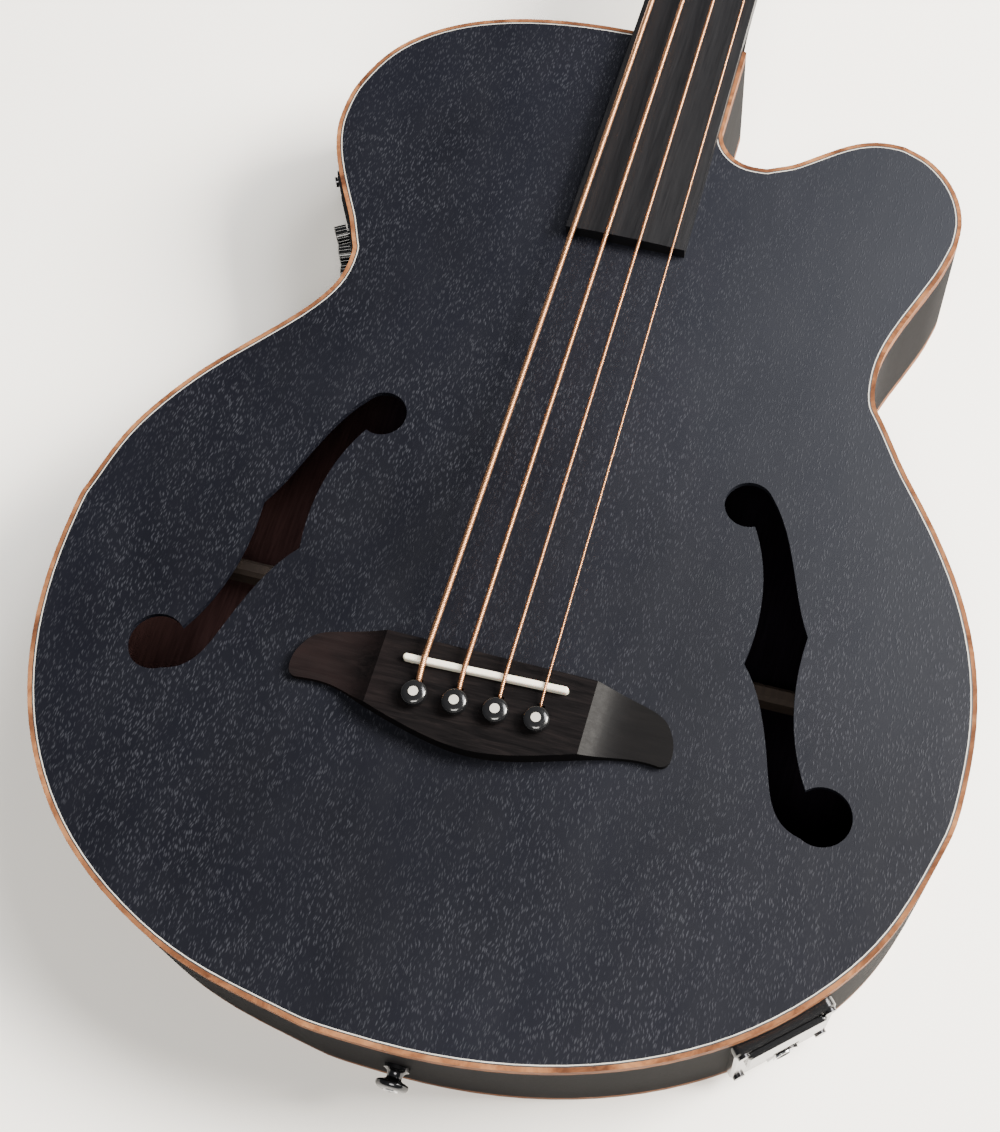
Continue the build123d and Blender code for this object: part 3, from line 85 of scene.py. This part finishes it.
# ---------------------------------------------------------------- materials
class Shader:
    """One node material, with short calls for the nodes that the finishes here share."""

    def __init__(self, name, **values):
        self.material = bpy.data.materials.new(name)
        self.material.use_nodes = True
        self.tree = self.material.node_tree
        self.main = self.tree.nodes["Principled BSDF"]
        self.place = self.tree.nodes.new("ShaderNodeTexCoord").outputs["Object"]
        for socket, value in values.items():
            self.main.inputs[socket.replace("_", " ")].default_value = value

    def add(self, kind, **settings):
        node = self.tree.nodes.new(kind)
        for key, value in settings.items():
            setattr(node, key, value)
        return node

    def link(self, source, target):
        self.tree.links.new(source, target)

    def mapped(self, scale=(1, 1, 1), source=None):
        """The object's own coordinates, or another vector, scaled along each axis."""
        node = self.add("ShaderNodeMapping")
        node.inputs["Scale"].default_value = scale
        self.link(source or self.place, node.inputs["Vector"])
        return node.outputs["Vector"]

    def noise(self, vector, scale, detail=2.0, rough=0.5, warp=0.0):
        node = self.add("ShaderNodeTexNoise")
        node.inputs["Scale"].default_value = scale
        node.inputs["Detail"].default_value = detail
        node.inputs["Roughness"].default_value = rough
        node.inputs["Distortion"].default_value = warp
        self.link(vector, node.inputs["Vector"])
        return node.outputs["Fac"]

    def cells(self, vector, scale):
        """The distance to the nearest of many scattered points."""
        node = self.add("ShaderNodeTexVoronoi")
        node.inputs["Scale"].default_value = scale
        self.link(vector, node.inputs["Vector"])
        return node.outputs["Distance"]

    def bands(self, scale):
        """Even bands that follow each other along the object's Y axis."""
        node = self.add("ShaderNodeTexWave", wave_type="BANDS", bands_direction="Y")
        node.inputs["Scale"].default_value = scale
        self.link(self.mapped(), node.inputs["Vector"])
        return node.outputs["Fac"]

    def ramp(self, source, *stops):
        """A colour ramp: each stop is a place and either a grey or an rgb colour."""
        node = self.add("ShaderNodeValToRGB")
        points = node.color_ramp.elements
        while len(points) < len(stops):
            points.new(0.5)
        for point, (place, tone) in zip(points, stops):
            point.position = place
            point.color = (*tone, 1) if isinstance(tone, tuple) else (tone, tone, tone, 1)
        self.link(source, node.inputs["Fac"])
        return node.outputs["Color"]

    def blend(self, amount, first, second):
        """Two colours, each an rgb or a socket, mixed by a socket that runs from 0 to 1."""
        node = self.add("ShaderNodeMix", data_type="RGBA")
        self.link(amount, node.inputs[0])
        for value, socket in ((first, node.inputs[6]), (second, node.inputs[7])):
            if isinstance(value, tuple):
                socket.default_value = (*value, 1)
            else:
                self.link(value, socket)
        return node.outputs[2]

    def maths(self, how, first, second):
        """One arithmetic step on two values, each a number or a socket."""
        node = self.add("ShaderNodeMath", operation=how)
        for value, socket in zip((first, second), node.inputs):
            if isinstance(value, (int, float)):
                socket.default_value = value
            else:
                self.link(value, socket)
        return node.outputs[0]

    def bump(self, height, strength, distance):
        """A normal from a height."""
        node = self.add("ShaderNodeBump")
        node.inputs["Strength"].default_value = strength
        node.inputs["Distance"].default_value = distance
        self.link(height, node.inputs["Height"])
        return node.outputs["Normal"]

    def swayed(self, scale, reach):
        """The object's own coordinates, pushed across by a slow noise so that lines along Y waver."""
        slow = self.noise(self.mapped(), scale)
        push = self.maths("MULTIPLY", self.maths("SUBTRACT", slow, 0.5), reach)
        aside = self.add("ShaderNodeCombineXYZ")
        self.link(push, aside.inputs["X"])
        total = self.add("ShaderNodeVectorMath", operation="ADD")
        self.link(self.place, total.inputs[0])
        self.link(aside.outputs[0], total.inputs[1])
        return total.outputs[0]

    def near(self, spot, solid, reach):
        """1 at a spot of the object, falling to 0 at a distance."""
        gap = self.add("ShaderNodeVectorMath", operation="DISTANCE")
        gap.inputs[1].default_value = spot
        self.link(self.place, gap.inputs[0])
        return self.maths("SUBTRACT", 1.0, self.span(gap.outputs["Value"], solid, reach))

    def span(self, source, low, high):
        """A value mapped to 0 at low and 1 at high, and held there outside them."""
        node = self.add("ShaderNodeMapRange", interpolation_type="SMOOTHSTEP")
        node.inputs["From Min"].default_value = low
        node.inputs["From Max"].default_value = high
        self.link(source, node.inputs["Value"])
        return node.outputs["Result"]

    def part(self, axis):
        """One coordinate of the object's own frame."""
        node = self.add("ShaderNodeSeparateXYZ")
        self.link(self.place, node.inputs[0])
        return node.outputs[axis]

    def above(self, height):
        """0 below a height of the object and 1 above it."""
        return self.span(self.part("Z"), height, height + 0.0002)

    def wire(self, colour=None, rough=None, normal=None):
        for source, socket in ((colour, "Base Color"), (rough, "Roughness"), (normal, "Normal")):
            if source is not None:
                self.link(source, self.main.inputs[socket])
        return self.material


def top_finish():
    """Black stain in satin lacquer: open pores as dense short dashes on a cloudy ground, with a painted
    sheen that lightens the colour towards the treble horn.
    """
    s = Shader("black_open_pore_top", IOR=1.235)
    bent = s.swayed(110, 0.004)
    pores = s.cells(s.mapped((1, 0.26, 1), source=bent), 1250)
    chosen = s.ramp(s.noise(s.mapped((1, 0.3, 1)), 520, 2, 0.6), (0.36, 0.0), (0.50, 1.0))
    regions = s.ramp(s.noise(s.mapped((1, 0.7, 1)), 16, 3, 0.6), (0.32, 0.25), (0.6, 1.0))
    dashes = s.maths("MULTIPLY", s.ramp(pores, (0.10, 1.0), (0.46, 0.0)), chosen)
    flecks = s.maths("MULTIPLY", dashes, regions)
    cloud = s.noise(s.mapped((1, 0.6, 1)), 7, 3, 0.55)
    ground = s.blend(
        s.ramp(cloud, (0.35, 0.0), (0.68, 1.0)), (0.0022, 0.0024, 0.0043), (0.0043, 0.0047, 0.0078)
    )
    colour = s.blend(flecks, ground, (0.021, 0.022, 0.0275))
    # painted sheen: the colour is lightened towards the treble horn, where the lights' sheen falls
    painted_sheen_across = s.span(s.part("X"), PAINTED_SHEEN_FROM[0], PAINTED_SHEEN_TO[0])
    painted_sheen_up = s.span(s.part("Y"), PAINTED_SHEEN_FROM[1], PAINTED_SHEEN_TO[1])
    colour = s.blend(s.maths("MULTIPLY", painted_sheen_across, painted_sheen_up), colour, (0.0130, 0.0142, 0.0185))
    rubbed = s.maths("MULTIPLY", s.near(RUB_SPOT, RUB_SOLID, RUB_REACH), chosen)
    colour = s.blend(rubbed, colour, (0.16, 0.085, 0.045))
    rough = s.ramp(s.noise(s.mapped((1, 0.4, 1)), 55, 4, 0.6), (0.3, 0.40), (0.75, 0.50))
    return s.wire(colour, rough, s.bump(dashes, 0.22, 0.0002))


def satin_black_wood(name="black_satin_wood", inner=None):
    """The sides, back and neck: black stain with long quiet grain.

    With an inner colour, the inner face of the back takes it as a reddish wood tone, painted lit on the
    bass side, where light comes in, and painted in shade elsewhere.
    """
    s = Shader(name, IOR=1.05)
    grain = s.noise(s.mapped((60, 4, 60)), 12, 4, 0.6, 0.3)
    colour = s.ramp(grain, (0.3, (0.0050, 0.0050, 0.0058)), (0.75, (0.0115, 0.0108, 0.0112)))
    rough = s.ramp(grain, (0.25, 0.52), (0.8, 0.64))
    if inner:
        # painted light and painted shade: the reddish inner face is brightened on the bass side and
        # darkened towards the treble side
        far = s.span(s.part("X"), BACK_PAINTED_LIT_X, BACK_PAINTED_SHADE_X)
        painted_lit = s.ramp(grain, (0.3, inner), (0.75, tuple(2.1 * c for c in inner)))
        painted_shade = s.ramp(grain, (0.3, (0.0030, 0.0022, 0.0036)), (0.75, (0.0065, 0.0048, 0.0075)))
        colour = s.blend(s.above(BACK_INSIDE_Z), colour, s.blend(far, painted_lit, painted_shade))
    return s.wire(colour, rough, s.bump(grain, 0.15, 0.0002))


def binding_wood():
    """Orange tan wood strip with darker streaks that run along the rim."""
    s = Shader("tan_wood_binding", IOR=1.10, Roughness=0.55)
    streak = s.noise(s.mapped((1, 1, 11)), 60, 4, 0.65, 0.8)
    patch = s.noise(s.mapped(), 24, 2)
    tone = s.ramp(
        streak,
        (0.32, (0.040, 0.015, 0.008)),
        (0.48, (0.135, 0.054, 0.024)),
        (0.70, (0.27, 0.125, 0.055)),
    )
    colour = s.blend(s.ramp(patch, (0.4, 0.0), (0.7, 0.6)), tone, (0.070, 0.028, 0.015))
    return s.wire(colour, None, s.bump(streak, 0.15, 0.0001))


def plain(name, colour, rough, bump=0.12, **values):
    """Moulded plastic, metal or bone: an even tone with faint mottle and a fine surface."""
    s = Shader(name, **values)
    fine = s.noise(s.mapped(), 900, 3, 0.6)
    broad = s.noise(s.mapped(), 70, 2)
    darker = tuple(c * 0.82 for c in colour)
    tone = s.ramp(broad, (0.35, darker), (0.65, colour))
    gloss = s.ramp(fine, (0.3, max(rough - 0.05, 0.03)), (0.7, rough + 0.05))
    return s.wire(tone, gloss, s.bump(fine, bump, 0.0001))


def pale_wood():
    """Bare inner wood with straight grain, in a warm tone painted dark as painted shade, since it lies
    inside the body.
    """
    s = Shader("pale_wood", Roughness=0.75)
    grain = s.noise(s.mapped((40, 3, 40)), 10, 4, 0.6, 0.2)
    # the warm wood tone is painted dark here, as painted shade inside the body
    colour = s.ramp(grain, (0.3, (0.026, 0.017, 0.0125)), (0.75, (0.048, 0.032, 0.023)))
    return s.wire(colour, None, s.bump(grain, 0.2, 0.0003))


def rosewood():
    """The bridge: near black brown with fine lines along it, and the treble scoop painted paler as
    painted light.
    """
    s = Shader("rosewood", IOR=1.12)
    grain = s.noise(s.mapped((5, 60, 60)), 9, 5, 0.65, 0.7)
    red = s.noise(s.mapped((1, 2.0, 1)), 24, 3)
    tone = s.ramp(
        grain,
        (0.3, (0.0022, 0.0020, 0.0022)),
        (0.5, (0.0040, 0.0034, 0.0036)),
        (0.72, (0.0075, 0.0058, 0.0058)),
    )
    bass_end = s.span(s.part("X"), BRIDGE_RED_FROM_X, BRIDGE_RED_TO_X)
    reddish = s.maths("MULTIPLY", s.ramp(red, (0.40, 0.15), (0.62, 1.0)), bass_end)
    colour = s.blend(reddish, tone, (0.0085, 0.0055, 0.0055))
    lines = s.noise(s.mapped((1, 30, 1)), 70, 3, 0.6, 0.4)
    # painted light: the treble scoop's colour is lightened where the light falls on its slope
    scoop = s.span(s.part("X"), SCOOP_FROM_X, SCOOP_TO_X)
    scoop_painted_light = s.maths("MULTIPLY", scoop, s.ramp(lines, (0.3, 0.65), (0.7, 1.0)))
    colour = s.blend(scoop_painted_light, colour, (0.0050, 0.0048, 0.0050))
    rough = s.ramp(grain, (0.3, 0.36), (0.75, 0.48))
    return s.wire(colour, rough, s.bump(grain, 0.2, 0.0002))


def fingerboard_wood():
    """Near black fingerboard with fine long grain."""
    s = Shader("dark_fingerboard_wood", Specular_IOR_Level=0.16)
    grain = s.noise(s.mapped((80, 4, 80)), 11, 4, 0.6, 0.3)
    colour = s.ramp(grain, (0.3, (0.0042, 0.0042, 0.0050)), (0.75, (0.0072, 0.0072, 0.0082)))
    rough = s.ramp(grain, (0.3, 0.38), (0.75, 0.48))
    return s.wire(colour, rough, s.bump(grain, 0.15, 0.0002))


def wound_string():
    """Phosphor bronze wrap: fine rings along the string, with painted shade in the valleys between them.
    """
    s = Shader("bronze_wound_string", Metallic=1.0)
    rings = s.bands(420)
    tarnish = s.noise(s.mapped((1, 0.2, 1)), 90, 3)
    dull = s.ramp(tarnish, (0.4, 0.0), (0.7, 1.0))
    bright = s.blend(dull, (0.66, 0.34, 0.17), (0.52, 0.26, 0.135))
    # painted shade: the valleys between the rings are darkened
    colour = s.blend(s.ramp(rings, (0.05, 1.0), (0.45, 0.0)), bright, (0.20, 0.09, 0.05))
    return s.wire(colour, s.ramp(tarnish, (0.3, 0.28), (0.7, 0.4)), s.bump(rings, 0.6, 0.0002))


FINISHES = {
    "black_open_pore_top": top_finish(),
    "black_satin_wood": satin_black_wood(),
    "tan_wood_binding": binding_wood(),
    "black_plastic": plain("black_plastic", (0.011, 0.011, 0.012), 0.45),
    "white_plastic": plain("white_plastic", (0.40, 0.385, 0.35), 0.5, IOR=1.2),
    "pale_wood": pale_wood(),
    "rosewood": rosewood(),
    "bone": plain("bone", (0.78, 0.74, 0.62), 0.33, Subsurface_Weight=0.1, Subsurface_Scale=0.002),
    "black_gloss_plastic": plain(
        "black_gloss_plastic", (0.0045, 0.0045, 0.005), 0.2, 0.03, Coat_Weight=0.3, Coat_Roughness=0.08
    ),
    "brass": plain("brass", (0.60, 0.43, 0.20), 0.3, Metallic=1.0),
    "dark_fingerboard_wood": fingerboard_wood(),
    "steel": plain("steel", (0.55, 0.55, 0.56), 0.32, Metallic=1.0),
    "black_plated_metal": plain(
        "black_plated_metal", (0.035, 0.035, 0.038), 0.22, 0.04, Metallic=0.9, Coat_Weight=0.3
    ),
    "display_window": plain("display_window", (0.012, 0.016, 0.018), 0.07, bump=0.0),
    "battery_case": plain("battery_case", (0.05, 0.05, 0.055), 0.35, Metallic=0.6),
    "chrome": plain("chrome", (0.78, 0.78, 0.80), 0.12, bump=0.03, Metallic=1.0),
    "lead_rubber": plain("lead_rubber", (0.013, 0.013, 0.013), 0.6),
    "bronze_wound_string": wound_string(),
}
BACK_FINISH = satin_black_wood("black_wood_back", inner=(0.0165, 0.0085, 0.0082))


def dress_frame():
    """Every CAD node takes the finish of its slot, and the back has an inner face of its own."""
    for part in frame["record"]["subparts"]:
        mesh = nodes[part["node"]].data
        mesh.materials.clear()
        mesh.materials.append(FINISHES[part["material_slot"]])
    nodes["back_plate"].data.materials[0] = BACK_FINISH


# the nodes whose sharp edges are rounded, under the rounding's width
EDGES = {
    0.0002: (
        "output_jack", "headstock_screws", "panel_screws", "preamp_display", "truss_rod_cover",
        "tuner_bushings", "strap_screws",
    ),
    0.0003: ("jack_nut", "tuner_plates", "nut", "fingerboard", "battery_drawer"),
    0.0005: ("preamp_panel", "battery_bezel", "bridge", "battery"),
    0.0008: ("neck",),
}
EDGE_ANGLE = 38


def soften_edges():
    """Sharp edges get a narrow rounding, so that they catch the light."""
    for width, names in EDGES.items():
        for name in names:
            bevel = nodes[name].modifiers.new("edge", "BEVEL")
            bevel.width = width
            bevel.segments = 2
            bevel.limit_method = "ANGLE"
            bevel.angle_limit = radians(EDGE_ANGLE)
            bevel.use_clamp_overlap = False
            bevel.harden_normals = True


# ---------------------------------------------------------------- small pieces
JOINTS = {joint["name"]: joint for joint in frame["record"]["behaviour"]["joints"]}
KNOBS = ("treble", "middle", "bass", "volume")
KNOB_REACH_DEG = 140
POINTER_AT, POINTER_HALF_W, POINTER_HALF_L = 0.0028, 0.00032, 0.0014
POINTER_LOW, POINTER_HIGH = 0.0084, 0.00885
TICKS, TICK_AT, TICK_HALF_W, TICK_HALF_L = 11, 0.0068, 0.00017, 0.0006
TICK_SUNK, TICK_PROUD = -0.0001, 0.00008
ABOVE_PANEL = 0.02
BLOCK_EDGE = 0.35


def knob_frame(name):
    """A knob's middle, and the directions out of the panel, to its right and up along it."""
    joint = JOINTS[f"knob_{name}_turn"]
    out = Vector(joint["axis"]).normalized()
    right = Vector((0, 0, 1)).cross(out).normalized()
    return Vector(joint["pos_m"]), out, right, out.cross(right)


def add_piece(name, solids, slot, body="instrument"):
    """A new mesh piece with a slot's finish, moving with a body."""
    mesh = bpy.data.meshes.new(name)
    mesh.from_pydata([tuple(v) for v in solids.verts], [], solids.faces)
    mesh.validate()
    mesh.materials.append(FINISHES[slot])
    piece = bpy.data.objects.new(name, mesh)
    bpy.context.scene.collection.objects.link(piece)
    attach(piece, body)


class Blocks:
    """Gathers small bevelled blocks for one piece."""

    def __init__(self):
        self.verts, self.faces = [], []

    def add(self, middle, right, up, half_w, half_h, low, high):
        """A bevelled block on a plane: right and up lie in it, and it rises from low to high."""
        out = right.cross(up)
        edge = min(half_w, half_h, high - low) * BLOCK_EDGE
        start = len(self.verts)
        for level, cut in ((low, 0.0), (high - edge, 0.0), (high, edge)):
            for sx, sy in ((-1, -1), (1, -1), (1, 1), (-1, 1)):
                aside = right * (sx * (half_w - cut)) + up * (sy * (half_h - cut))
                self.verts.append(middle + aside + out * level)
        faces = [(3, 2, 1, 0), (8, 9, 10, 11)]
        for ring in (0, 4):
            for i in range(4):
                after = (i + 1) % 4
                faces.append((ring + i, ring + after, ring + 4 + after, ring + 4 + i))
        self.faces += [tuple(start + i for i in face) for face in faces]


def add_knob_pointers():
    """A white line let into the groove on each knob."""
    for name in KNOBS:
        middle, _, right, up = knob_frame(name)
        line = Blocks()
        line.add(
            middle + up * POINTER_AT, right, up, POINTER_HALF_W, POINTER_HALF_L, POINTER_LOW, POINTER_HIGH
        )
        add_piece(f"pointer_{name}", line, "white_plastic", f"knob_{name}")


def add_scale_marks():
    """Plain short ticks round each knob, laid on the panel's curved face."""
    panel = nodes["preamp_panel"]
    ticks = Blocks()
    for name in KNOBS:
        middle, out, right, up = knob_frame(name)
        for step in range(TICKS):
            angle = radians(KNOB_REACH_DEG * (1 - 2 * step / (TICKS - 1)))
            along = up * cos(angle) + right * sin(angle)
            start = panel.matrix_world.inverted() @ (middle + along * TICK_AT + out * ABOVE_PANEL)
            found, spot, normal, _ = panel.ray_cast(start, -out)
            if found:
                across = normal.cross(along).normalized()
                ticks.add(
                    spot, across, normal.cross(across), TICK_HALF_W, TICK_HALF_L, TICK_SUNK, TICK_PROUD
                )
    add_piece("panel_ticks", ticks, "white_plastic")


# ---------------------------------------------------------------- studio
def add_floor():
    """A wide pale floor under the back."""
    bpy.ops.mesh.primitive_plane_add(size=12, location=(0, 0.4, -0.0005))
    floor = bpy.context.object
    floor.name = "floor"
    s = Shader("floor_paint", Roughness=0.7)
    drift = s.noise(s.mapped(), 1.6, 2)
    tone = s.ramp(drift, (0.3, (0.90, 0.868, 0.815)), (0.7, (0.94, 0.912, 0.865)))
    floor.data.materials.append(s.wire(tone))


def add_light(name, place, aim, size, power, tint=(1, 1, 1)):
    """A soft rectangular light, in watts."""
    data = bpy.data.lights.new(name, "AREA")
    data.shape = "RECTANGLE"
    data.size, data.size_y = size
    data.energy = power
    data.color = tint
    light = bpy.data.objects.new(name, data)
    light.location = place
    light.rotation_euler = (Vector(aim) - Vector(place)).to_track_quat("-Z", "Y").to_euler()
    bpy.context.scene.collection.objects.link(light)


def add_studio():
    """A window far to the treble side, a high sky light over the horn, and a fill behind the tail."""
    add_floor()
    add_light("window", (2.6, 1.2, 2.0), (0, 0.1, 0), (1.6, 1.6), 740, (1.0, 0.955, 0.88))
    add_light("sky", (1.5, 1.9, 3.0), (0.3, 0.1, 0), (1.6, 1.6), 150)
    add_light("overhead", (0.4, -1.9, 3.4), (0, 0.2, 0), (1.8, 1.4), 150, (1.0, 0.962, 0.90))
    world = bpy.data.worlds.new("room")
    world.use_nodes = True
    world.node_tree.nodes["Background"].inputs["Color"].default_value = (0.90, 0.94, 1.0, 1)
    world.node_tree.nodes["Background"].inputs["Strength"].default_value = 0.22
    bpy.context.scene.world = world


add_camera()
dress_frame()
soften_edges()
add_knob_pointers()
add_scale_marks()
add_studio()
